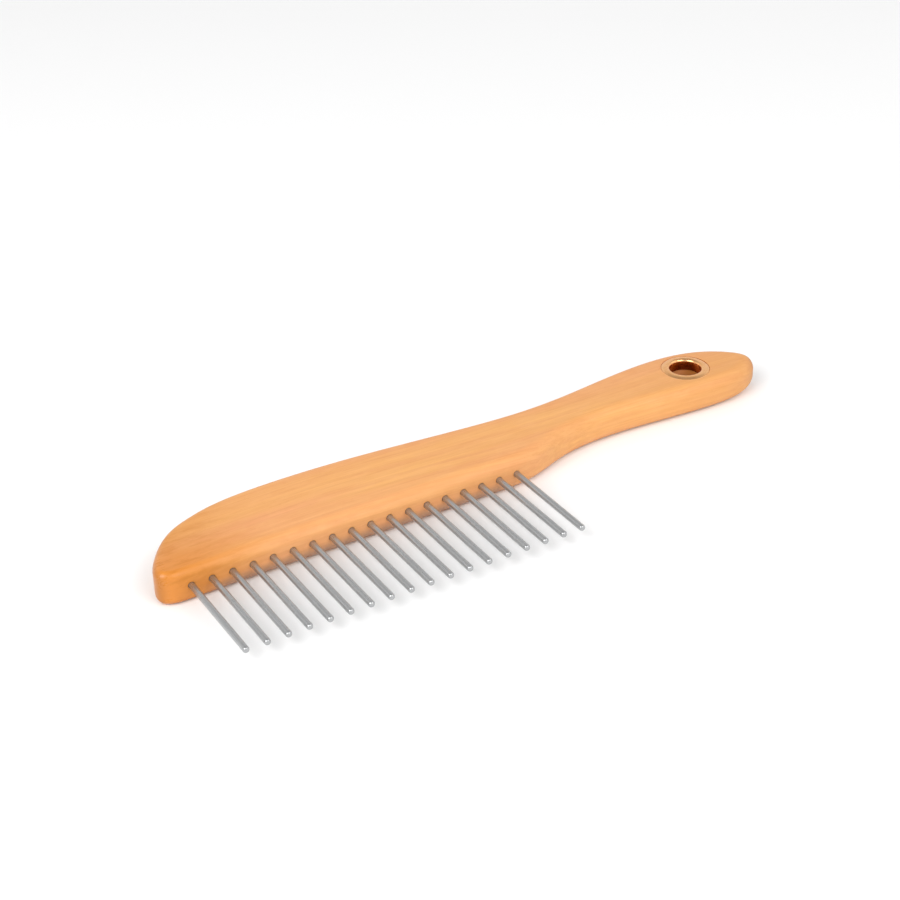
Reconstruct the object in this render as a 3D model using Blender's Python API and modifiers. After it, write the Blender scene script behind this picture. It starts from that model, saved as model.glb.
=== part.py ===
"""A hand comb: a flat hardwood body with a row of steel pins and a short brass eyelet in each face.

Metres, +Z up. The comb lies flat, its pins reach towards -Y and its handle towards +X. The origin is
the middle of the whole comb's footprint, on the surface that it lies on.
"""

import math

import bmesh
import bpy
from mathutils import Matrix, Vector

MM = 0.001
GAP = 0.3 * MM  # clearance between pieces that touch

# The wooden body
BODY_THICKNESS = 11.0 * MM
NOSE_ROUNDING = 2.3 * MM  # radius of the body's edges at the nose
UNDER_ROUNDING = 3.0 * MM  # of the lower edges along the comb
GRIP_ROUNDING = 4.0 * MM  # of the upper edges along the comb, and of all along the grip
END_ROUNDING = 4.5 * MM  # round the handle's end
TO_COMB = (0.0 * MM, 22.0 * MM)  # the stretch of X over which the nose's becomes the comb's
TO_GRIP = (112.0 * MM, 160.0 * MM)  # where the comb's becomes the grip's
TO_END = (196.0 * MM, 210.0 * MM)  # and where the grip's becomes the end's

# Control points of the body's plan outline, a closed cubic B-spline, in millimetres: X from the first
# pin's axis along the comb, and Y from the straight front edge towards the back.
BODY_OUTLINE = (
    *((-5.0, 0.0), (-3.5, 0.0), (11.5, 0.0), (60.0, 0.0), (101.0, 0.0), (116.5, 0.0)),  # front edge
    *((131.7, 7.8), (151.9, 8.8), (168.5, 7.4), (195.8, 5.0)),  # front of the grip
    *((208.4, 8.4), (214.2, 16.6), (200.0, 28.2)),  # end of the handle
    *((180.9, 31.9), (153.4, 28.5), (124.4, 24.2)),  # back of the grip
    *((66.4, 32.0), (22.2, 31.7), (11.5, 26.8), (-0.3, 21.3), (-12.2, 3.0)),  # back and nose
)
OUTLINE_STEPS = 5  # points of the evaluated outline for each control point
ROUNDING_SEGMENTS = 4

# The pins
PIN_COUNT = 18
PIN_PITCH = 6.4 * MM
PIN_DIAMETER = 2.0 * MM
PIN_REACH = 36.0 * MM  # from the body's front edge to the tip
PIN_HELD = 15.0 * MM  # inside the wood
PIN_TIP_ROUNDING = 0.8 * MM
PIN_SIDES = 12

# The eyelets
EYELET_X = 186.5 * MM
EYELET_Y = 18.15 * MM
EYELET_BORE = 10.2 * MM
EYELET_FLANGE = 16.0 * MM
EYELET_DEPTH = 3.8 * MM  # of the barrel's end below the crown of the flange
EYELET_SHEET = 0.4 * MM
EYELET_ROLL = 1.0 * MM  # outer radius of the roll between the barrel and the flange
EYELET_FALL = 0.5 * MM  # from the crown down to the flange's rim
EYELET_PROUD = 0.35 * MM  # of the upper crown above the wood; the lower crown is level with it
EYELET_SIDES = 32
ROLL_STEPS = 4
SLOPE_STEPS = 2

OVERCUT = 2.0 * MM  # how far a cutter passes a face

MATERIALS = {  # base colour, roughness, metallic
    "lacquered_beech": ((0.85, 0.47, 0.19, 1.0), 0.38, 0.0),
    "drawn_steel": ((0.55, 0.56, 0.57, 1.0), 0.32, 1.0),
    "brass": ((0.80, 0.60, 0.36, 1.0), 0.25, 1.0),
}


def clear_scene():
    for obj in list(bpy.data.objects):
        bpy.data.objects.remove(obj)


def new_collection(name):
    collection = bpy.data.collections.new(name)
    bpy.context.scene.collection.children.link(collection)
    return collection


def principled(name):
    """The named material, which every piece made of it shares."""
    material = bpy.data.materials.get(name)
    if material is None:
        material = bpy.data.materials.new(name)
        material.use_nodes = True
        shader = material.node_tree.nodes["Principled BSDF"]
        colour, roughness, metallic = MATERIALS[name]
        shader.inputs["Base Color"].default_value = colour
        shader.inputs["Roughness"].default_value = roughness
        shader.inputs["Metallic"].default_value = metallic
        material.diffuse_color = colour
    return material


def add_object(name, mesh, collection, parent=None, material=None):
    obj = bpy.data.objects.new(name, mesh)
    collection.objects.link(obj)
    obj.parent = parent
    if material:
        mesh.materials.append(principled(material))
    return obj


def as_cutter(obj):
    obj.hide_render = True
    obj.display_type = "WIRE"
    return obj


def outline_ring():
    """The body's plan outline as (x, y) points, read from a closed NURBS curve."""
    curve = bpy.data.curves.new("body_outline", "CURVE")
    curve.dimensions = "2D"
    curve.fill_mode = "NONE"
    curve.resolution_u = OUTLINE_STEPS
    spline = curve.splines.new("NURBS")
    spline.points.add(len(BODY_OUTLINE) - 1)
    for point, (x, y) in zip(spline.points, BODY_OUTLINE):
        point.co = (x * MM, y * MM, 0.0, 1.0)
    spline.use_cyclic_u = True
    spline.order_u = 4
    guide = bpy.data.objects.new("body_outline", curve)
    bpy.context.scene.collection.objects.link(guide)
    graph = bpy.context.evaluated_depsgraph_get()
    mesh = bpy.data.meshes.new_from_object(guide.evaluated_get(graph))
    ring = [(vertex.co.x, vertex.co.y) for vertex in mesh.vertices]
    bpy.data.meshes.remove(mesh)
    bpy.data.objects.remove(guide)
    return ring


def ease(x, start, end):
    """Rises smoothly from 0 to 1 as x goes from start to end."""
    share = min(max((x - start) / (end - start), 0.0), 1.0)
    return share * share * (3.0 - 2.0 * share)


def edge_rounding(x, comb_rounding):
    """The radius of the upper or the lower edges at x: smallest at the nose, largest at the handle's end."""
    comb = (comb_rounding - NOSE_ROUNDING) * ease(x, *TO_COMB)
    grip = (GRIP_ROUNDING - comb_rounding) * ease(x, *TO_GRIP)
    end = (END_ROUNDING - GRIP_ROUNDING) * ease(x, *TO_END)
    return NOSE_ROUNDING + comb + grip + end


def body_mesh(ring):
    """The outline extruded to the body's thickness, with each rim edge's rounding as its bevel weight."""
    bm = bmesh.new()
    floor = bm.faces.new([bm.verts.new((x, y, 0.0)) for x, y in ring])
    top = bmesh.ops.extrude_face_region(bm, geom=[floor], use_keep_orig=True)["geom"]
    raised = [item for item in top if isinstance(item, bmesh.types.BMVert)]
    bmesh.ops.translate(bm, verts=raised, vec=(0.0, 0.0, BODY_THICKNESS))
    bmesh.ops.recalc_face_normals(bm, faces=bm.faces)
    weight = bm.edges.layers.float.new("bevel_weight_edge")
    for edge in bm.edges:
        first, second = (vertex.co for vertex in edge.verts)
        if first.z == second.z:
            comb_rounding = GRIP_ROUNDING if first.z > 0.0 else UNDER_ROUNDING
            edge[weight] = edge_rounding((first.x + second.x) / 2.0, comb_rounding) / END_ROUNDING
    mesh = bpy.data.meshes.new("body")
    bm.to_mesh(mesh)
    bm.free()
    mesh.shade_smooth()
    return mesh


def make_body(ring, collection, parent):
    body = add_object("body", body_mesh(ring), collection, parent, "lacquered_beech")
    bevel = body.modifiers.new("rounded_edges", "BEVEL")
    bevel.limit_method = "WEIGHT"
    bevel.width = END_ROUNDING
    bevel.segments = ROUNDING_SEGMENTS
    bevel.use_clamp_overlap = False
    return body


def turned(name, profile, sides, collection, parent=None, material=None):
    """A profile of (radius, z) points turned about Z; an open profile that ends on the axis closes."""
    bm = bmesh.new()
    points = [bm.verts.new((radius, 0.0, z)) for radius, z in profile]
    for first, second in zip(points, points[1:]):
        bm.edges.new((first, second))
    mesh = bpy.data.meshes.new(name)
    bm.to_mesh(mesh)
    bm.free()
    obj = add_object(name, mesh, collection, parent, material)
    screw = obj.modifiers.new("turn", "SCREW")
    screw.axis = "Z"
    screw.angle = 2.0 * math.pi
    screw.steps = sides
    screw.render_steps = sides
    screw.use_merge_vertices = True
    screw.merge_threshold = 0.00001
    screw.use_smooth_shade = True
    return obj


def arc(centre, radius, start, end, steps):
    """Points on a circle from one angle to another, both in degrees and both included."""
    angles = [math.radians(start + (end - start) * i / steps) for i in range(steps + 1)]
    return [(centre[0] + radius * math.cos(a), centre[1] + radius * math.sin(a)) for a in angles]


def pin_profile():
    """Down the outer side from the held end, which is up, to the rounded tip at z = 0."""
    radius = PIN_DIAMETER / 2.0
    length = PIN_REACH + PIN_HELD
    tip = arc((radius - PIN_TIP_ROUNDING, PIN_TIP_ROUNDING), PIN_TIP_ROUNDING, 0.0, -90.0, 3)
    return [(0.0, length), (radius, length), *tip, (0.0, 0.0)]


def make_pins(collection, parent):
    for index in range(PIN_COUNT):
        name = f"pin_{index + 1:02d}"
        pin = turned(name, pin_profile(), PIN_SIDES, collection, parent, "drawn_steel")
        pin.location = (index * PIN_PITCH, -PIN_REACH, BODY_THICKNESS / 2.0)
        pin.rotation_euler = (-math.pi / 2.0, 0.0, 0.0)


def make_pin_holes(collection, parent):
    """The cutter for the blind holes that hold the pins, one cylinder each."""
    depth = PIN_HELD + GAP
    length = depth + OVERCUT
    bm = bmesh.new()
    for index in range(PIN_COUNT):
        centre = Vector((index * PIN_PITCH, depth - length / 2.0, BODY_THICKNESS / 2.0))
        bmesh.ops.create_cone(
            bm,
            cap_ends=True,
            segments=PIN_SIDES,
            radius1=PIN_DIAMETER / 2.0 + GAP,
            radius2=PIN_DIAMETER / 2.0 + GAP,
            depth=length,
            matrix=Matrix.Translation(centre) @ Matrix.Rotation(-math.pi / 2.0, 4, "X"),
        )
    mesh = bpy.data.meshes.new("pin_holes")
    bm.to_mesh(mesh)
    bm.free()
    return as_cutter(add_object("pin_holes", mesh, collection, parent))


def eyelet_profile():
    """The eyelet's exposed face, from the barrel's end over the crown, at z = 0, to the flange's rim."""
    bore = EYELET_BORE / 2.0
    crown = bore + EYELET_ROLL
    rim = EYELET_FLANGE / 2.0
    roll = arc((crown, -EYELET_ROLL), EYELET_ROLL, 180.0, 90.0, ROLL_STEPS)
    shares = [(step + 1) / SLOPE_STEPS for step in range(SLOPE_STEPS)]
    slope = [(crown + (rim - crown) * share, -EYELET_FALL * share**2) for share in shares]
    return [(bore, -EYELET_DEPTH), *roll, *slope]


def make_eyelet(name, crown_z, facing, collection, parent):
    """One eyelet with its crown at crown_z; facing is 1 for the upper face and -1 for the lower."""
    eyelet = turned(name, eyelet_profile(), EYELET_SIDES, collection, parent, "brass")
    sheet = eyelet.modifiers.new("sheet", "SOLIDIFY")
    sheet.thickness = EYELET_SHEET
    sheet.offset = -1.0
    sheet.use_even_offset = True
    eyelet.location = (EYELET_X, EYELET_Y, crown_z)
    eyelet.rotation_euler = (0.0 if facing > 0 else math.pi, 0.0, 0.0)
    return eyelet


def make_eyelet_seats(collection, parent):
    """The cutter for the hanging hole: a bore right through, and a shallow seat for each flange."""
    bore = EYELET_BORE / 2.0 + EYELET_SHEET + GAP
    seat = EYELET_FLANGE / 2.0 + GAP
    under_crown = EYELET_FALL + EYELET_SHEET + GAP
    upper = BODY_THICKNESS + EYELET_PROUD - under_crown
    lower = under_crown
    profile = [
        (0.0, BODY_THICKNESS + OVERCUT),
        (seat, BODY_THICKNESS + OVERCUT),
        (seat, upper),
        (bore, upper),
        (bore, lower),
        (seat, lower),
        (seat, -OVERCUT),
        (0.0, -OVERCUT),
    ]
    cutter = turned("eyelet_seats", profile, EYELET_SIDES, collection, parent)
    cutter.modifiers["turn"].use_smooth_shade = False
    cutter.location = (EYELET_X, EYELET_Y, 0.0)
    return as_cutter(cutter)


def cut(obj, cutter):
    boolean = obj.modifiers.new("cut_" + cutter.name, "BOOLEAN")
    boolean.operation = "DIFFERENCE"
    boolean.solver = "EXACT"
    boolean.object = cutter


def main():
    clear_scene()
    parts = new_collection("hand_comb")
    cutters = new_collection("cutters")
    ring = outline_ring()

    # The outline is drawn from the first pin; this empty moves it to the middle of the footprint.
    middle_x = (min(x for x, y in ring) + max(x for x, y in ring)) / 2.0
    middle_y = (max(y for x, y in ring) - PIN_REACH) / 2.0
    datum = add_object("first_pin_datum", None, parts)
    datum.location = (-middle_x, -middle_y, 0.0)

    body = make_body(ring, parts, datum)
    cut(body, make_pin_holes(cutters, datum))
    cut(body, make_eyelet_seats(cutters, datum))
    make_pins(parts, datum)
    make_eyelet("eyelet_upper", BODY_THICKNESS + EYELET_PROUD, 1, parts, datum)
    make_eyelet("eyelet_lower", 0.0, -1, parts, datum)


main()
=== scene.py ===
"""The looks of a hand comb: a lacquered wooden body, a row of steel pins and a brass eyelet in each face.

Metres, +Z up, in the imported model's frame. Every piece stands for one CAD node, at its place and size.
"""

import math

import bmesh
import bpy
import numpy as np
from mathutils import Matrix, Vector
from mathutils.geometry import delaunay_2d_cdt


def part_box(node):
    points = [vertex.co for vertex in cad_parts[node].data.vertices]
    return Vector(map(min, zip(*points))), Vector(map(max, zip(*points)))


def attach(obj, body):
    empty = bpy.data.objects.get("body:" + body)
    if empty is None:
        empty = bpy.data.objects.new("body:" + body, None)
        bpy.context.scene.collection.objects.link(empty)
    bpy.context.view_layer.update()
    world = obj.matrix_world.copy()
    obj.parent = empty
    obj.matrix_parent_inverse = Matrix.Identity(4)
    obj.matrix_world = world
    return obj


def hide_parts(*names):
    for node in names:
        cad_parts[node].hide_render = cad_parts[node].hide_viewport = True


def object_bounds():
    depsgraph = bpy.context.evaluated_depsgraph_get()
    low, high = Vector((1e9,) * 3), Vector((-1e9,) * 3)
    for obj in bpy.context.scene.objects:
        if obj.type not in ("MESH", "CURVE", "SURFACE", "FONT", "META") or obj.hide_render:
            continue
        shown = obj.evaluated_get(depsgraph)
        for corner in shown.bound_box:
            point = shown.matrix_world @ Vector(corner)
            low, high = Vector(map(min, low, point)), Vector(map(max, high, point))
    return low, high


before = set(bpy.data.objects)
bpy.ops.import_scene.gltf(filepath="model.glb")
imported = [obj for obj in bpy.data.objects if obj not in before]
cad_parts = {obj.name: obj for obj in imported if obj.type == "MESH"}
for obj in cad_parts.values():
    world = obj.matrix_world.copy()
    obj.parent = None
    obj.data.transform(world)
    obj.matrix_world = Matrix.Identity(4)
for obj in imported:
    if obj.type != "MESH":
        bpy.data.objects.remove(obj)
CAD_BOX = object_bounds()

MM = 0.001

# Places and sizes that the frame gives
PIN_NODES = sorted(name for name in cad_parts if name.startswith("pin_"))
PIN_BOXES = [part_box(name) for name in PIN_NODES]
BODY_LOW, BODY_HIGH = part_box("body")
UPPER_LOW, UPPER_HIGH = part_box("eyelet_upper")
LOWER_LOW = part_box("eyelet_lower")[0]
PIN_RADIUS = (PIN_BOXES[0][1].x - PIN_BOXES[0][0].x) / 2.0
PIN_AXES_X = [(low.x + high.x) / 2.0 for low, high in PIN_BOXES]
PIN_AXIS_Z = (PIN_BOXES[0][0].z + PIN_BOXES[0][1].z) / 2.0
PIN_TIP_Y = PIN_BOXES[0][0].y
PIN_END_Y = PIN_BOXES[0][1].y
FRONT_Y = BODY_LOW.y
EYELET_CENTRE = (UPPER_LOW + UPPER_HIGH) / 2.0
FLANGE_RADIUS = (UPPER_HIGH.x - UPPER_LOW.x) / 2.0
EYELET_DEPTH = UPPER_HIGH.z - UPPER_LOW.z

# The body. Its outline is the closed cubic B-spline of the CAD, whose control points are in millimetres
# from the first pin's axis and the straight front edge.
BODY_OUTLINE = (
    *((-5.0, 0.0), (-3.5, 0.0), (11.5, 0.0), (60.0, 0.0), (101.0, 0.0), (116.5, 0.0)),  # front edge
    *((131.7, 7.8), (151.9, 8.8), (168.5, 7.4), (195.8, 5.0)),  # front of the grip
    *((208.4, 8.4), (214.2, 16.6), (200.0, 28.2)),  # end of the handle
    *((180.9, 31.9), (153.4, 28.5), (124.4, 24.2)),  # back of the grip
    *((66.4, 32.0), (22.2, 31.7), (11.5, 26.8), (-0.3, 21.3), (-12.2, 3.0)),  # back and nose
)
NOSE_ROUNDING = 2.3 * MM  # radius of the body's edges at the nose
UNDER_ROUNDING = 3.0 * MM  # of the lower edges along the comb
GRIP_ROUNDING = 4.0 * MM  # of the upper edges along the comb, and of all along the grip
END_ROUNDING = 4.5 * MM  # round the handle's end
TO_COMB = (0.0 * MM, 22.0 * MM)  # from the first pin's axis, where the nose's becomes the comb's
TO_GRIP = (112.0 * MM, 160.0 * MM)  # where the comb's becomes the grip's
TO_END = (196.0 * MM, 210.0 * MM)  # and where the grip's becomes the end's
SPLINE_STEPS = 40  # along each span of the outline's curve, before it is spaced evenly
OUTLINE_SPACING = 0.9 * MM
ROUNDING_STEPS = 12
SIDE_STEPS = 3
FACE_SPACING = 1.6 * MM  # of the points that fill the flat faces
ROW_HEIGHT = math.sqrt(0.75)  # of a grid of equal triangles, as a share of their side
TRIANGLES_INSIDE = 1  # what delaunay_2d_cdt makes: triangles inside the outline only
SAME_POINT = 1e-9
WELD = 0.002 * MM  # vertices of a turned solid nearer than this are one
BODY_SHARP = 30.0  # degrees; sharper edges of the body aren't smoothed over
METAL_SHARP = 40.0

# The holes in the wood
HOLE_CLEARANCE = 0.05 * MM  # round each pin
HOLE_CHAMFER = 0.06 * MM
SEAT_CLEARANCE = 0.03 * MM  # round the eyelets' barrels and flanges
SEAT_CHAMFER = 0.04 * MM
OVERCUT = 2.0 * MM
HOLE_SIDES = 40

# The pins
TIP_ROUNDING = 0.8 * MM
TIP_STEPS = 8
PIN_SIDES = 40

# The eyelets
BORE_RADIUS = 5.1 * MM
SHEET = 0.4 * MM
ROLL = 1.0 * MM  # outer radius of the roll between the barrel and the flange
FALL = 0.5 * MM  # from the crown down to the flange's rim
RIM_ROUNDING = 0.2 * MM
SLOPE_POWER = 2.6  # how late the fall comes, from the crown to the rim
SLOPE_STEPS = 10
ROLL_STEPS = 16
INNER_ROLL_STEPS = 10
RIM_START = 60.0  # degrees round the rim, where the slope meets it
RIM_STEPS = 6
EYELET_SIDES = 128

# The camera, as angles and a distance from the point that it looks at
CAMERA_AZIMUTH = -30.26
CAMERA_ELEVATION = 31.23
CAMERA_ROLL = 1.38
CAMERA_DISTANCE = 0.58788
CAMERA_AIM = Vector((PIN_AXES_X[0] + 98.90 * MM, FRONT_Y + 23.35 * MM, PIN_AXIS_Z))
CAMERA_LENS = 75.0

# Noises by name: their scale per millimetre along X, Y and Z, their detail and their roughness. Those of
# the grain follow it as it turns and wanders, and those of the board don't.
CENTRED = (-0.5, -0.5, -0.5)  # brings a noise's colour, from 0 to 1, to either side of 0
SWAY_SCALE = (0.011, 0.03, 0.03)  # how often the grain wanders
SWAY_REACH = (0.0, 7.0, 7.0)  # and over how wide a range, in millimetres
GRAIN_TURN = 1.6  # degrees between the grain and the row of pins
GRAIN_NOISES = {
    "bands": ((0.005, 0.075, 0.075), 2.0, 0.55),
    "streaks": ((0.012, 0.30, 0.30), 4.0, 0.62),
    "lines": ((0.018, 0.72, 0.72), 3.0, 0.6),
    "fibres": ((0.045, 1.9, 1.9), 4.0, 0.62),
    "fine_fibres": ((0.3, 7.0, 7.0), 3.0, 0.6),
    "seasons": ((0.008, 0.16, 0.16), 3.0, 0.5),
    "blotches": ((0.09, 0.40, 0.40), 4.0, 0.7),
}
BOARD_NOISES = {
    "mottle": ((0.16, 0.3, 0.3), 4.0, 0.6),
    "smudges": ((0.11, 0.16, 0.16), 4.0, 0.65),
}
STEEL_NOISES = {
    "lines": ((9.0, 0.12, 9.0), 4.0, 0.6),
    "patches": ((0.6, 0.35, 0.6), 3.0, 0.5),
    "specks": ((7.0, 3.0, 7.0), 2.0, 0.5),
}

# Growth rings. Each fade here and below is from one value to another, and where there are four numbers the
# last two are the shares, or other amounts, that it gives at those values.
FROM_PITH = (0.0, 38.0, 74.0)  # millimetres; the pith lies in front of the comb and below it
RING_SPACING = 1.9  # millimetres
SEASON_CHANGE = 3.4  # how far the seasons' noise shifts the rings, in rings
RING_RISE, RING_FALL = (0.15, 0.95), (1.0, 0.93)
RING_STRENGTH = (0.3, 0.7, 0.04, 0.26)
LATE_WOOD_TINT = (0.60, 0.240, 0.060, 1)

# The board's two colours, and what tints them in turn: a noise, its fade and the tint
BAND_FADE = (0.36, 0.64)
BAND_COLOURS = ((0.785, 0.358, 0.154, 1), (0.785, 0.394, 0.122, 1))
COARSE_TINTS = (
    ("streaks", (0.35, 0.65, 0.46, 0.0), (0.67, 0.272, 0.088, 1)),
    ("lines", (0.32, 0.60, 0.21, 0.0), (0.62, 0.245, 0.074, 1)),
    ("mottle", (0.38, 0.66, 0.0, 0.35), (0.79, 0.395, 0.150, 1)),
)
FINE_TINTS = (
    ("fibres", (0.34, 0.66, 0.15, 0.0), (0.51, 0.182, 0.046, 1)),
    ("fine_fibres", (0.35, 0.65, 0.08, 0.0), (0.51, 0.187, 0.050, 1)),
)

# Short dark flecks
FLECK_SCALE = (0.42, 3.6, 3.6)
FLECK_EDGE = (0.24, 0.10)  # over the distance from a fleck's middle, in cells
FLECK_FIBRES = (0.45, 0.62)  # over the fine fibres' noise
FLECK_SHARE, FLECK_TINT = 0.22, (0.38, 0.13, 0.035, 1)

# The nose, the handle's end and the end grain, with their fades in millimetres from the ends of the body
NOSE_FADE, NOSE_SHARE, NOSE_TINT = (40.0, 3.0), 0.60, (0.55, 0.205, 0.020, 1)
CORNER_FADE = (15.0, 3.0)  # behind the front edge
CORNER_SHARE, CORNER_TINT = 0.5, (0.62, 0.190, 0.004, 1)
END_FADE, END_SHARE, END_TINT = (50.0, 8.0), 0.3, (0.60, 0.25, 0.070, 1)
BLOTCH_FADE = (0.46, 0.64, 0.0, 0.45)  # over their noise, at the nose only
BLOTCH_TINT = (0.48, 0.150, 0.008, 1)
END_GRAIN_FADE = (0.25, 0.9, 0.0, 0.8)  # over how squarely a surface faces along X
END_GRAIN_TINT = (0.42, 0.145, 0.018, 1)

# The darker rings at the pins and the painted shade below them, in millimetres
FRONT_SKIN = (2.0, 0.5)  # behind the front edge
ENTRY_FADE, ENTRY_TINT = (1.35, 1.05, 0.0, 0.4), (0.26, 0.09, 0.025, 1)  # from a pin's axis
FIRST_PIN_FADE = (2.0, 13.0)  # past the first pin's axis
LAST_PIN_FADE = 8.0  # before the last pin's
# Painted shade: the front face is greyed low among the pins, below their axes, where they shade it.
PIN_SHADE_FADE, PIN_SHADE_TINT = (-0.5, -4.0, 0.0, 0.72), (0.36, 0.22, 0.16, 1)  # above the pins' axes

# How rough the wood is, and its relief
SATIN = (0.3, 0.7, 0.52, 0.45)
FLECK_DULLNESS = 0.12
SMUDGES = (0.4, 0.7, 0.0, 0.06)
SHINE_FADE, NOSE_SHINE = (9.0, 3.0), 0.2  # millimetres from the tip of the nose
FINE_RELIEF, FLECK_RELIEF = 0.5, -0.6
WOOD_BUMP = 0.012 * MM

# The steel
STEEL_FADE, STEEL_COLOURS = (0.3, 0.7), ((0.38, 0.385, 0.39, 1), (0.48, 0.485, 0.49, 1))
PATCH_FADE, PATCH_TINT = (0.5, 0.75, 0.0, 0.3), (0.32, 0.325, 0.33, 1)
SPECK_FADE, SPECK_TINT = (0.66, 0.74, 0.0, 0.4), (0.26, 0.257, 0.252, 1)
TIP_FADE = (0.9, 1.6)  # millimetres from the pin's tip, over which it turns from smooth to satin
LINE_ROUGHNESS = (0.3, 0.7, 0.25, 0.19)
PATCH_ROUGHNESS = (0.45, 0.75, 0.0, 0.06)
SATIN_ROUGHNESS = 0.06
STEEL_BUMP = 0.004 * MM

# The brass
TURNING_SCALE = 9.0
TARNISH_SCALE = 0.45
SCRATCH_TURN = 35.0  # degrees
SCRATCH_SCALE = (0.5, 14.0, 3.0)
TARNISH_FADE, BRASS_COLOURS = (0.35, 0.7), ((0.92, 0.50, 0.225, 1), (0.87, 0.44, 0.180, 1))
TURNING_FADE, TURNING_TINT = (0.35, 0.65, 0.12, 0.0), (0.45, 0.26, 0.11, 1)
# Painted shade deep in the eyelets' bores: the brass is darker there.
BARREL_SHADE_FADE = (4.9, 3.6, 0.0, 0.75)  # millimetres from halfway between the two crowns
BARREL_SHADE_TINT = (0.42, 0.15, 0.035, 1)
TARNISH_ROUGHNESS = (0.35, 0.7, 0.12, 0.22)
SCRATCH_ROUGHNESS = (0.6, 0.75, 0.0, 0.1)
SCRATCH_RELIEF = 0.4
BRASS_BUMP = 0.006 * MM

# The floor and the light, in metres and degrees
FLOOR_HALF_SIDE = 3.0
FLOOR_DROP = 0.1 * MM  # below the comb's underside
FLOOR_COLOUR = (0.90, 0.90, 0.90, 1.0)
FLOOR_SCALE = 2.0  # of the noise in its roughness
FLOOR_ROUGHNESS = (0.3, 0.7, 0.85, 0.95)
WALL, CEILING = 0.92, 0.50  # the room's brightness
WALL_TO_CEILING = (0.5, 0.95)  # the sine of the elevations between which one fades to the other
SOFTBOX_ELEVATION = 40.0
SOFTBOX_DISTANCE = 1.3
SOFTBOX_SIDE = 0.8
SOFTBOXES = (  # name, azimuth, power in watts
    ("left_key", -70.0, 9.8),
    ("right_key", 10.0, 5.0),
    ("right_fill", 60.0, 1.3),
)


# ---------------------------------------------------------------- meshes


def spline_point(points, index, t):
    """A point of the closed uniform cubic B-spline, t from 0 to 1 along the span that starts at index."""
    a, b, c, d = (points[(index + step) % len(points)] for step in range(-1, 3))
    return (
        a * (1 - t) ** 3
        + b * (3 * t**3 - 6 * t**2 + 4)
        + c * (-3 * t**3 + 3 * t**2 + 3 * t + 1)
        + d * t**3
    ) / 6.0


def even_ring(spacing):
    """The body's outline as evenly spaced (x, y) points, anticlockwise from above."""
    points = np.array(BODY_OUTLINE) * MM + np.array((PIN_AXES_X[0], FRONT_Y))
    dense = np.array(
        [
            spline_point(points, i, step / SPLINE_STEPS)
            for i in range(len(points))
            for step in range(SPLINE_STEPS)
        ]
    )
    closed = np.vstack([dense, dense[:1]])
    along = np.concatenate([[0.0], np.cumsum(np.linalg.norm(np.diff(closed, axis=0), axis=1))])
    wanted = np.linspace(0.0, along[-1], round(along[-1] / spacing), endpoint=False)
    return np.column_stack([np.interp(wanted, along, closed[:, axis]) for axis in (0, 1)])


def inward(ring):
    """The unit normal at each point of an anticlockwise ring, pointing inwards."""
    tangent = np.roll(ring, -1, axis=0) - np.roll(ring, 1, axis=0)
    tangent /= np.linalg.norm(tangent, axis=1)[:, None]
    return np.column_stack([-tangent[:, 1], tangent[:, 0]])


def ease(x, start, end):
    """Rises smoothly from 0 to 1 as x, from the first pin's axis, goes from start to end."""
    share = np.clip((x - PIN_AXES_X[0] - start) / (end - start), 0.0, 1.0)
    return share * share * (3.0 - 2.0 * share)


def edge_rounding(x, comb_rounding):
    """The radius of the upper or lower edges at x: smallest at the nose, largest at the handle's end."""
    comb = (comb_rounding - NOSE_ROUNDING) * ease(x, *TO_COMB)
    grip = (GRIP_ROUNDING - comb_rounding) * ease(x, *TO_GRIP)
    end = (END_ROUNDING - GRIP_ROUNDING) * ease(x, *TO_END)
    return NOSE_ROUNDING + comb + grip + end


def section():
    """Steps up the body's edge. Each says how far in it lies and how far from the nearer flat face, as
    shares of the rounding. Then comes 0 for the lower edge, 1 for the upper, or a share of the side."""
    angles = [math.pi / 2.0 * step / ROUNDING_STEPS for step in range(ROUNDING_STEPS + 1)]
    lower = [(1.0 - math.cos(a), 1.0 - math.sin(a), 0.0) for a in reversed(angles)]
    side = [(0.0, 1.0, step / SIDE_STEPS) for step in range(1, SIDE_STEPS)]
    upper = [(1.0 - math.cos(a), 1.0 - math.sin(a), 1.0) for a in angles]
    return lower + side + upper


def body_rings(ring):
    """The outline's rings from the underside's flat, round the edge, to the top's flat, as 3-D points."""
    lower = edge_rounding(ring[:, 0], UNDER_ROUNDING)
    upper = edge_rounding(ring[:, 0], GRIP_ROUNDING)
    normal = inward(ring)
    for inset, rise, height in section():
        plan = ring + normal * ((upper if height else lower) * inset)[:, None]
        low = BODY_LOW.z + lower * rise
        high = BODY_HIGH.z - upper * rise
        yield np.column_stack([plan, low + (high - low) * height])


def inside(points, ring):
    """True for each point that lies inside the ring, by counting crossings."""
    x, y = points[:, 0][:, None], points[:, 1][:, None]
    x0, y0 = ring[:, 0], ring[:, 1]
    x1, y1 = np.roll(x0, -1), np.roll(y0, -1)
    crosses = (y0 > y) != (y1 > y)
    rise = np.where(y1 == y0, 1.0, y1 - y0)
    return ((crosses & (x < x0 + (y - y0) / rise * (x1 - x0))).sum(axis=1) % 2) == 1


def fill_points(ring, spacing):
    """A triangular grid of points inside the ring, none nearer to it than half the spacing."""
    rows = np.arange(ring[:, 1].min(), ring[:, 1].max(), spacing * ROW_HEIGHT)
    grid = np.array(
        [
            (x + spacing / 2.0 * (row % 2), y)
            for row, y in enumerate(rows)
            for x in np.arange(ring[:, 0].min(), ring[:, 0].max(), spacing)
        ]
    )
    grid = grid[inside(grid, ring)]
    nearest = np.array([np.linalg.norm(ring - point, axis=1).min() for point in grid])
    return grid[nearest > spacing / 2.0]


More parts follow.
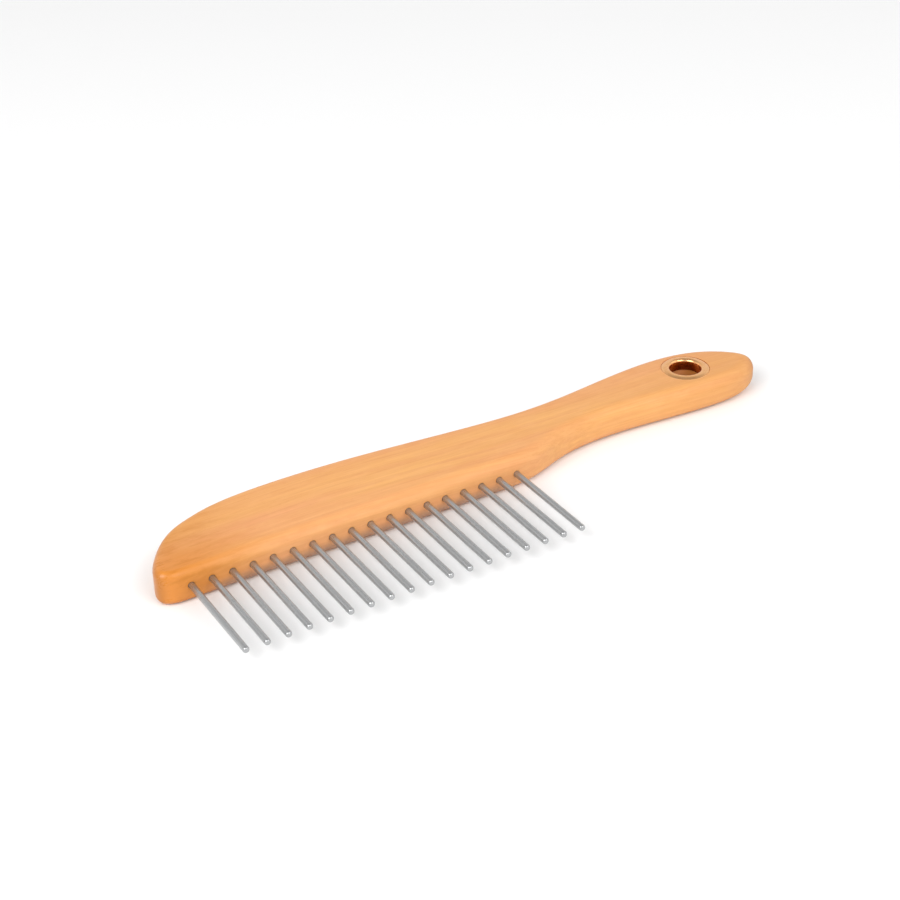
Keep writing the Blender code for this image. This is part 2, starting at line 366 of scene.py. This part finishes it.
def face_triangles(ring, spacing):
    """Triangles over the ring's inside: (extra points, triangles by index, ring points first)."""
    extra = fill_points(ring, spacing)
    points = [Vector(point) for point in np.vstack([ring, extra])]
    edges = [(i, (i + 1) % len(ring)) for i in range(len(ring))]
    made, _, faces, *_ = delaunay_2d_cdt(points, edges, [], TRIANGLES_INSIDE, SAME_POINT)
    if len(made) != len(points):
        raise RuntimeError("the flat face's fill added or merged points")
    return extra, faces


def object_from(name, bm):
    """The finished bmesh as an object in the scene."""
    mesh = bpy.data.meshes.new(name)
    bmesh.ops.recalc_face_normals(bm, faces=bm.faces)
    bm.to_mesh(mesh)
    bm.free()
    obj = bpy.data.objects.new(name, mesh)
    bpy.context.scene.collection.objects.link(obj)
    return obj


def body_blank():
    """The body with its rounded edges, before anything is drilled."""
    ring = even_ring(OUTLINE_SPACING)
    bm = bmesh.new()
    rows = [[bm.verts.new(point) for point in row] for row in body_rings(ring)]
    for below, above in zip(rows, rows[1:]):
        for i in range(len(ring)):
            after = (i + 1) % len(ring)
            bm.faces.new((below[i], below[after], above[after], above[i]))
    for row in (rows[0], rows[-1]):
        flat = np.array([vertex.co[:] for vertex in row])
        extra, triangles = face_triangles(flat[:, :2], FACE_SPACING)
        vertices = row + [bm.verts.new((x, y, flat[0, 2])) for x, y in extra]
        for triangle in triangles:
            bm.faces.new([vertices[i] for i in triangle])
    return object_from("comb_body", bm)


def turn_into(bm, profile, sides, place):
    """Adds to bm a closed solid: (radius, height) points turned about Z and then placed by a matrix. A
    profile that starts on the axis ends on it too, and isn't closed along it."""
    points = [bm.verts.new(place @ Vector((radius, 0.0, height))) for radius, height in profile]
    off_axis = profile[0][0] > 0.0
    pairs = zip(points, points[1:] + points[:1])
    edges = [bm.edges.new(pair) for pair in pairs if off_axis or pair[0] is not points[-1]]
    bmesh.ops.spin(
        bm,
        geom=points + edges,
        cent=place.translation,
        axis=place.to_3x3() @ Vector((0.0, 0.0, 1.0)),
        angle=2.0 * math.pi,
        steps=sides,
        use_merge=True,
    )
    bmesh.ops.remove_doubles(bm, verts=bm.verts, dist=WELD)


def turned(name, profile, sides, place):
    """An object that is one turned solid."""
    bm = bmesh.new()
    turn_into(bm, profile, sides, place)
    return object_from(name, bm)


def arc(centre, radius, start, end, steps):
    """Points on a circle from one angle to another, both in degrees and both included."""
    angles = [math.radians(start + (end - start) * i / steps) for i in range(steps + 1)]
    return [(centre[0] + radius * math.cos(a), centre[1] + radius * math.sin(a)) for a in angles]


def pin_place(x, y):
    """Lays a turned shape along the pin at x, with its foot at y and its height running to the wood."""
    return Matrix.Translation((x, y, PIN_AXIS_Z)) @ Matrix.Rotation(-math.pi / 2.0, 4, "X")


def pin_hole_cutter():
    """A cylinder for each pin, with a chamfer where it leaves the wood."""
    hole = PIN_RADIUS + HOLE_CLEARANCE
    depth = PIN_END_Y - FRONT_Y + HOLE_CLEARANCE
    profile = [
        (0.0, -OVERCUT),
        (hole + HOLE_CHAMFER + OVERCUT, -OVERCUT),
        (hole, HOLE_CHAMFER),
        (hole, depth),
        (0.0, depth),
    ]
    bm = bmesh.new()
    for x in PIN_AXES_X:
        turn_into(bm, profile, HOLE_SIDES, pin_place(x, FRONT_Y))
    return object_from("pin_holes", bm)


def seat_cutter():
    """The hanging hole: a bore right through and a seat for each flange."""
    bore = BORE_RADIUS + SHEET + SEAT_CLEARANCE
    seat = FLANGE_RADIUS + SEAT_CLEARANCE
    upper = UPPER_HIGH.z - FALL - SHEET - SEAT_CLEARANCE
    lower = LOWER_LOW.z + FALL + SHEET + SEAT_CLEARANCE
    profile = [
        (0.0, BODY_HIGH.z + OVERCUT),
        (seat + SEAT_CHAMFER + OVERCUT, BODY_HIGH.z + OVERCUT),
        (seat, BODY_HIGH.z - SEAT_CHAMFER),
        (seat, upper),
        (bore, upper),
        (bore, lower),
        (seat, lower),
        (seat, BODY_LOW.z + SEAT_CHAMFER),
        (seat + SEAT_CHAMFER + OVERCUT, BODY_LOW.z - OVERCUT),
        (0.0, BODY_LOW.z - OVERCUT),
    ]
    place = Matrix.Translation((EYELET_CENTRE.x, EYELET_CENTRE.y, 0.0))
    return turned("eyelet_seats", profile, EYELET_SIDES, place)


def cut_and_apply(obj, cutters):
    """Takes the cutters out of the object's mesh, and then out of the scene."""
    for cutter in cutters:
        boolean = obj.modifiers.new(cutter.name, "BOOLEAN")
        boolean.operation = "DIFFERENCE"
        boolean.solver = "EXACT"
        boolean.object = cutter
    graph = bpy.context.evaluated_depsgraph_get()
    mesh = bpy.data.meshes.new_from_object(obj.evaluated_get(graph))
    obj.modifiers.clear()
    obj.data = mesh
    for cutter in cutters:
        bpy.data.objects.remove(cutter)


def shade(obj, sharp_degrees):
    """Smooth shading, but not across edges sharper than that."""
    obj.data.shade_smooth()
    obj.data.set_sharp_from_angle(angle=math.radians(sharp_degrees))


def make_body():
    body = body_blank()
    cut_and_apply(body, [pin_hole_cutter(), seat_cutter()])
    shade(body, BODY_SHARP)
    return body


def make_pin(number, x):
    length = PIN_END_Y - PIN_TIP_Y
    tip = arc((PIN_RADIUS - TIP_ROUNDING, TIP_ROUNDING), TIP_ROUNDING, 0.0, -90.0, TIP_STEPS)
    profile = [(0.0, length), (PIN_RADIUS, length), *tip, (0.0, 0.0)]
    pin = turned(f"steel_pin_{number:02d}", profile, PIN_SIDES, pin_place(x, PIN_TIP_Y))
    shade(pin, METAL_SHARP)
    return pin


def eyelet_profile():
    """The closed section of the pressed sheet: its exposed face out to the rim, and back underneath."""
    crown = BORE_RADIUS + ROLL
    rim = FLANGE_RADIUS - RIM_ROUNDING
    roll = arc((crown, -ROLL), ROLL, 180.0, 90.0, ROLL_STEPS)
    shares = [step / SLOPE_STEPS for step in range(1, SLOPE_STEPS + 1)]
    slope = [(crown + (rim - crown) * s, -(FALL - RIM_ROUNDING / 2) * s**SLOPE_POWER) for s in shares]
    edge_top = slope[-1][1]
    edge = arc((rim, edge_top - RIM_ROUNDING), RIM_ROUNDING, RIM_START, 0.0, RIM_STEPS)
    under_rim = (rim + RIM_ROUNDING, edge_top - SHEET)
    under_slope = [(radius, height - SHEET) for radius, height in reversed(slope)]
    inner_roll = arc((crown, -ROLL), ROLL - SHEET, 90.0, 180.0, INNER_ROLL_STEPS)
    return [
        (BORE_RADIUS, -EYELET_DEPTH),
        *roll,
        *slope,
        *edge,
        under_rim,
        *under_slope,
        *inner_roll,
        (BORE_RADIUS + SHEET, -EYELET_DEPTH),
    ]


def make_eyelet(name, crown_z, turn):
    place = Matrix.Translation((EYELET_CENTRE.x, EYELET_CENTRE.y, crown_z)) @ Matrix.Rotation(turn, 4, "X")
    eyelet = turned(name, eyelet_profile(), EYELET_SIDES, place)
    shade(eyelet, METAL_SHARP)
    return eyelet


# ---------------------------------------------------------------- materials


MIX_INPUTS, MIX_OUTPUT = (0, 6, 7), 2  # a Mix node's factor, its two colours, and the colour it gives


class Paint:
    """A material's node tree, with a short way to add a node and link what feeds it."""

    def __init__(self, name):
        self.material = bpy.data.materials.new(name)
        self.material.use_nodes = True
        self.tree = self.material.node_tree
        self.shader = self.tree.nodes["Principled BSDF"]

    def feed(self, socket, value):
        if isinstance(value, bpy.types.NodeSocket):
            self.tree.links.new(value, socket)
        else:
            socket.default_value = value

    def node(self, kind, inputs, output=0, **settings):
        node = self.tree.nodes.new("ShaderNode" + kind)
        for name, value in settings.items():
            setattr(node, name, value)
        for key, value in inputs.items():
            self.feed(node.inputs[key], value)
        return node.outputs[output]

    def millimetres(self):
        """The place on the object, in millimetres of the model's own frame."""
        coordinates = self.tree.nodes.new("ShaderNodeTexCoord").outputs["Object"]
        return self.stretch(coordinates, (1.0 / MM,) * 3)

    def stretch(self, vector, scale):
        return self.node("VectorMath", {0: vector, 1: scale}, operation="MULTIPLY")

    def shift(self, vector, by):
        return self.node("VectorMath", {0: vector, 1: by}, operation="ADD")

    def turn(self, vector, degrees):
        rotation = tuple(math.radians(angle) for angle in degrees)
        return self.node("Mapping", {"Vector": vector, "Rotation": rotation})

    def length(self, vector):
        return self.node("VectorMath", {0: vector}, "Value", operation="LENGTH")

    def axis(self, vector, name):
        return self.node("SeparateXYZ", {0: vector}, name)

    def maths(self, operation, a, b=0.0, c=0.0):
        return self.node("Math", {0: a, 1: b, 2: c}, operation=operation)

    def noise(self, vector, scale=1.0, detail=2.0, roughness=0.5, output="Fac"):
        inputs = {"Vector": vector, "Scale": scale, "Detail": detail, "Roughness": roughness}
        return self.node("TexNoise", inputs, output)

    def between(self, value, low, high, to_low=0.0, to_high=1.0):
        """value's stretch from low to high, smoothly taken to another."""
        inputs = {"Value": value, "From Min": low, "From Max": high, "To Min": to_low, "To Max": to_high}
        return self.node("MapRange", inputs, interpolation_type="SMOOTHSTEP")

    def mix(self, share, first, second):
        """The first colour, with that share of the second over it."""
        node = self.tree.nodes.new("ShaderNodeMix")
        node.data_type = "RGBA"
        factor, first_colour, second_colour = (node.inputs[i] for i in MIX_INPUTS)
        self.feed(factor, share)
        self.feed(first_colour, first)
        self.feed(second_colour, second)
        return node.outputs[MIX_OUTPUT]

    def bump(self, height, distance):
        return self.node("Bump", {"Height": height, "Distance": distance, "Strength": 1.0})

    def finish(self, **inputs):
        for name, value in inputs.items():
            self.feed(self.shader.inputs[name.replace("_", " ")], value)
        return self.material


def noises_over(paint, vector, table):
    """The table's noises by name, over a place in millimetres."""
    return {
        name: paint.noise(paint.stretch(vector, scale), detail=detail, roughness=roughness)
        for name, (scale, detail, roughness) in table.items()
    }


def wandering_grain(paint, place):
    """The place in the wood, turned to the grain, which wanders a little as it runs along the comb."""
    sway = paint.noise(paint.stretch(place, SWAY_SCALE), detail=1.0, output="Color")
    sway = paint.stretch(paint.shift(sway, CENTRED), SWAY_REACH)
    return paint.turn(paint.shift(place, sway), (0.0, 0.0, GRAIN_TURN))


def late_wood(paint, grain, noises):
    """How much late wood there is: rings about a pith, their spacing changing from year to year."""
    radius = paint.length(paint.stretch(paint.shift(grain, FROM_PITH), (0.0, 1.0, 1.0)))
    years = paint.maths("DIVIDE", radius, RING_SPACING)
    ring = paint.maths("FRACT", paint.maths("MULTIPLY_ADD", noises["seasons"], SEASON_CHANGE, years))
    darkening = paint.maths("MULTIPLY", paint.between(ring, *RING_RISE), paint.between(ring, *RING_FALL))
    return paint.maths("MULTIPLY", darkening, paint.between(noises["streaks"], *RING_STRENGTH))


def dark_flecks(paint, grain, noises):
    """Short dark flecks, only where the fibres allow them."""
    stretched = paint.stretch(grain, FLECK_SCALE)
    cells = paint.node("TexVoronoi", {"Vector": stretched, "Scale": 1.0}, "Distance")
    allowed = paint.between(noises["fine_fibres"], *FLECK_FIBRES)
    return paint.maths("MULTIPLY", paint.between(cells, *FLECK_EDGE), allowed)


def tinted(paint, colour, noises, tints):
    """The colour with each tint over it in turn."""
    for name, fade, tint in tints:
        colour = paint.mix(paint.between(noises[name], *fade), colour, tint)
    return colour


def darker_ends(paint, colour, x, y, noises):
    """The board is darker at its nose, most of all in the corner by the pins, and at the handle's end. So
    are the surfaces that face along the comb, as end grain does."""
    nose_x, end_x, front_y = BODY_LOW.x / MM, BODY_HIGH.x / MM, FRONT_Y / MM
    nose = paint.between(x, nose_x + NOSE_FADE[0], nose_x + NOSE_FADE[1])
    colour = paint.mix(paint.maths("MULTIPLY", nose, NOSE_SHARE), colour, NOSE_TINT)
    near_pins = paint.between(y, front_y + CORNER_FADE[0], front_y + CORNER_FADE[1], 0.0, CORNER_SHARE)
    colour = paint.mix(paint.maths("MULTIPLY", nose, near_pins), colour, CORNER_TINT)
    blotches = paint.maths("MULTIPLY", paint.between(noises["blotches"], *BLOTCH_FADE), nose)
    colour = paint.mix(blotches, colour, BLOTCH_TINT)
    handle_end = paint.between(x, end_x - END_FADE[0], end_x - END_FADE[1], 0.0, END_SHARE)
    colour = paint.mix(handle_end, colour, END_TINT)
    facing = paint.tree.nodes.new("ShaderNodeNewGeometry").outputs["Normal"]
    endways = paint.maths("ABSOLUTE", paint.axis(facing, "X"))
    return paint.mix(paint.between(endways, *END_GRAIN_FADE), colour, END_GRAIN_TINT)


def rings_and_pin_shade(paint, colour, x, y, z):
    """A thin darker ring where each pin goes in, and a greyer strip of painted shade low on the front among
    the pins.
    """
    first, last = PIN_AXES_X[0] / MM, PIN_AXES_X[-1] / MM
    pitch = (PIN_AXES_X[1] - PIN_AXES_X[0]) / MM
    along = paint.maths("MINIMUM", paint.maths("MAXIMUM", x, first), last)
    steps = paint.maths("ROUND", paint.maths("DIVIDE", paint.maths("SUBTRACT", along, first), pitch))
    across = paint.maths("SUBTRACT", x, paint.maths("MULTIPLY_ADD", steps, pitch, first))
    up = paint.maths("SUBTRACT", z, PIN_AXIS_Z / MM)
    off_axis = paint.length(paint.node("CombineXYZ", {"X": across, "Y": up, "Z": 0.0}))
    at_front = paint.between(y, FRONT_Y / MM + FRONT_SKIN[0], FRONT_Y / MM + FRONT_SKIN[1])
    entry = paint.maths("MULTIPLY", paint.between(off_axis, *ENTRY_FADE), at_front)
    colour = paint.mix(entry, colour, ENTRY_TINT)
    from_first = paint.between(x, first + FIRST_PIN_FADE[0], first + FIRST_PIN_FADE[1])
    to_last = paint.between(x, last, last - LAST_PIN_FADE)
    among_pins = paint.maths("MULTIPLY", from_first, to_last)
    # Painted shade: greyer below the pins' axes among the pins, where they shade the front face.
    painted_pin_shade = paint.maths("MULTIPLY", among_pins, paint.between(up, *PIN_SHADE_FADE))
    return paint.mix(paint.maths("MULTIPLY", painted_pin_shade, at_front), colour, PIN_SHADE_TINT)


def wood_roughness(paint, x, flecks, noises):
    """Satin lacquer: duller over flecks and smudges, and shinier at the very tip of the nose."""
    roughness = paint.between(noises["fibres"], *SATIN)
    roughness = paint.maths("ADD", roughness, paint.maths("MULTIPLY", flecks, FLECK_DULLNESS))
    roughness = paint.maths("ADD", roughness, paint.between(noises["smudges"], *SMUDGES))
    nose_x = BODY_LOW.x / MM
    shine = paint.between(x, nose_x + SHINE_FADE[0], nose_x + SHINE_FADE[1], 0.0, NOSE_SHINE)
    return paint.maths("SUBTRACT", roughness, shine)


def wood_material():
    """Pale straight-grained hardwood under a satin lacquer, as one solid pattern through the body."""
    paint = Paint("lacquered_hardwood")
    place = paint.millimetres()
    x, y, z = (paint.axis(place, name) for name in "XYZ")
    grain = wandering_grain(paint, place)
    noises = noises_over(paint, grain, GRAIN_NOISES) | noises_over(paint, place, BOARD_NOISES)
    flecks = dark_flecks(paint, grain, noises)

    colour = paint.mix(paint.between(noises["bands"], *BAND_FADE), *BAND_COLOURS)
    colour = tinted(paint, colour, noises, COARSE_TINTS)
    colour = paint.mix(late_wood(paint, grain, noises), colour, LATE_WOOD_TINT)
    colour = tinted(paint, colour, noises, FINE_TINTS)
    colour = paint.mix(paint.maths("MULTIPLY", flecks, FLECK_SHARE), colour, FLECK_TINT)
    colour = darker_ends(paint, colour, x, y, noises)
    colour = rings_and_pin_shade(paint, colour, x, y, z)

    relief = paint.maths("MULTIPLY_ADD", noises["fine_fibres"], FINE_RELIEF, noises["fibres"])
    relief = paint.maths("MULTIPLY_ADD", flecks, FLECK_RELIEF, relief)
    return paint.finish(
        Base_Color=colour,
        Roughness=wood_roughness(paint, x, flecks, noises),
        Normal=paint.bump(relief, WOOD_BUMP),
        Specular_IOR_Level=0.42,
        Coat_Weight=0.06,
        Coat_Roughness=0.22,
    )


def steel_material():
    """Satin drawn wire, with fine lines along the pin and a few duller patches."""
    paint = Paint("drawn_steel_wire")
    place = paint.millimetres()
    noises = noises_over(paint, place, STEEL_NOISES)
    lines, patches = noises["lines"], noises["patches"]
    colour = paint.mix(paint.between(lines, *STEEL_FADE), *STEEL_COLOURS)
    colour = paint.mix(paint.between(patches, *PATCH_FADE), colour, PATCH_TINT)
    colour = paint.mix(paint.between(noises["specks"], *SPECK_FADE), colour, SPECK_TINT)

    # The shank is satin and the tip is smoother.
    tip_y = PIN_TIP_Y / MM
    satin = paint.between(paint.axis(place, "Y"), tip_y + TIP_FADE[0], tip_y + TIP_FADE[1])
    roughness = paint.between(lines, *LINE_ROUGHNESS)
    roughness = paint.maths("MULTIPLY_ADD", satin, SATIN_ROUGHNESS, roughness)
    roughness = paint.maths("ADD", roughness, paint.between(patches, *PATCH_ROUGHNESS))
    return paint.finish(
        Base_Color=colour, Metallic=0.9, Roughness=roughness, Normal=paint.bump(lines, STEEL_BUMP)
    )


def brass_material():
    """Pressed brass: faint turning marks round its axis, scratches, tarnish in patches, and painted shade
    deep inside the barrels.
    """
    paint = Paint("pressed_brass")
    place = paint.millimetres()
    centre = (-EYELET_CENTRE.x / MM, -EYELET_CENTRE.y / MM, 0.0)
    radius = paint.length(paint.stretch(paint.shift(place, centre), (1.0, 1.0, 0.0)))
    round_axis = paint.node("CombineXYZ", {"X": radius, "Y": paint.axis(place, "Z"), "Z": 0.0})
    turning = paint.noise(round_axis, TURNING_SCALE, detail=3.0)
    tarnish = paint.noise(place, TARNISH_SCALE, detail=4.0, roughness=0.6)
    aslant = paint.turn(place, (0.0, 0.0, SCRATCH_TURN))
    scratches = paint.noise(paint.stretch(aslant, SCRATCH_SCALE), detail=2.0)
    colour = paint.mix(paint.between(tarnish, *TARNISH_FADE), *BRASS_COLOURS)
    colour = paint.mix(paint.between(turning, *TURNING_FADE), colour, TURNING_TINT)

    # Painted shade: the barrels are darker inside, away from the two crowns.
    middle = (UPPER_HIGH.z + LOWER_LOW.z) / 2.0 / MM
    from_middle = paint.maths("ABSOLUTE", paint.maths("SUBTRACT", paint.axis(place, "Z"), middle))
    colour = paint.mix(paint.between(from_middle, *BARREL_SHADE_FADE), colour, BARREL_SHADE_TINT)

    scratched = paint.between(scratches, *SCRATCH_ROUGHNESS)
    roughness = paint.maths("ADD", paint.between(tarnish, *TARNISH_ROUGHNESS), scratched)
    relief = paint.maths("MULTIPLY_ADD", scratches, SCRATCH_RELIEF, turning)
    return paint.finish(
        Base_Color=colour, Metallic=1.0, Roughness=roughness, Normal=paint.bump(relief, BRASS_BUMP)
    )


# ---------------------------------------------------------------- studio


def floor_material():
    """Plain matt white paper."""
    paint = Paint("studio_white")
    fibres = paint.noise(paint.millimetres(), FLOOR_SCALE, detail=3.0)
    return paint.finish(Base_Color=FLOOR_COLOUR, Roughness=paint.between(fibres, *FLOOR_ROUGHNESS))


def make_floor():
    """A plain square of paper just under the comb."""
    bm = bmesh.new()
    bmesh.ops.create_grid(bm, x_segments=1, y_segments=1, size=FLOOR_HALF_SIDE)
    floor = object_from("studio_floor", bm)
    floor.location.z = CAD_BOX[0].z - FLOOR_DROP
    floor.data.materials.append(floor_material())


def make_world():
    """A white room that is bright round its walls and dim at its ceiling."""
    world = bpy.data.worlds.new("studio")
    world.use_nodes = True
    nodes, links = world.node_tree.nodes, world.node_tree.links
    height = nodes.new("ShaderNodeSeparateXYZ")
    links.new(nodes.new("ShaderNodeTexCoord").outputs["Generated"], height.inputs[0])
    fade = nodes.new("ShaderNodeMapRange")
    fade.interpolation_type = "SMOOTHSTEP"
    links.new(height.outputs["Z"], fade.inputs["Value"])
    for name, value in zip(("From Min", "From Max", "To Min", "To Max"), (*WALL_TO_CEILING, WALL, CEILING)):
        fade.inputs[name].default_value = value
    background = nodes["Background"]
    background.inputs["Color"].default_value = (1.0, 1.0, 1.0, 1.0)
    links.new(fade.outputs["Result"], background.inputs["Strength"])
    bpy.context.scene.world = world


def towards(azimuth, elevation):
    """The unit vector from the object to where a camera at that azimuth and elevation stands."""
    a, e = math.radians(azimuth), math.radians(elevation)
    return Vector((math.sin(a) * math.cos(e), -math.cos(a) * math.cos(e), math.sin(e)))


def make_softbox(name, azimuth, power):
    """A square lamp aimed at the point that the camera looks at."""
    data = bpy.data.lights.new(name, "AREA")
    data.shape = "SQUARE"
    data.size = SOFTBOX_SIDE
    data.energy = power
    lamp = bpy.data.objects.new(name, data)
    bpy.context.scene.collection.objects.link(lamp)
    back = towards(azimuth, SOFTBOX_ELEVATION)
    lamp.location = CAMERA_AIM + back * SOFTBOX_DISTANCE
    lamp.rotation_euler = back.to_track_quat("Z", "Y").to_euler()


def make_camera():
    """A camera at the photo's viewing angle."""
    data = bpy.data.cameras.new("camera")
    data.lens = CAMERA_LENS
    camera = bpy.data.objects.new("camera", data)
    bpy.context.scene.collection.objects.link(camera)
    back = towards(CAMERA_AZIMUTH, CAMERA_ELEVATION)
    level = (-back).to_track_quat("-Z", "Y").to_matrix().to_4x4()
    roll = Matrix.Rotation(math.radians(-CAMERA_ROLL), 4, "Z")
    camera.matrix_world = Matrix.Translation(CAMERA_AIM + back * CAMERA_DISTANCE) @ level @ roll
    bpy.context.scene.camera = camera


def dress(piece, material, node):
    """Gives a piece its material, hangs it from the root and hides the CAD node that it stands for."""
    piece.data.materials.append(material)
    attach(piece, "root")
    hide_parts(node)


make_camera()
make_floor()
make_world()
for softbox in SOFTBOXES:
    make_softbox(*softbox)
bpy.context.scene.view_settings.view_transform = "Standard"

dress(make_body(), wood_material(), "body")
steel = steel_material()
for number, (node, x) in enumerate(zip(PIN_NODES, PIN_AXES_X), 1):
    dress(make_pin(number, x), steel, node)
brass = brass_material()
dress(make_eyelet("brass_eyelet_upper", UPPER_HIGH.z, 0.0), brass, "eyelet_upper")
dress(make_eyelet("brass_eyelet_lower", LOWER_LOW.z, math.pi), brass, "eyelet_lower")
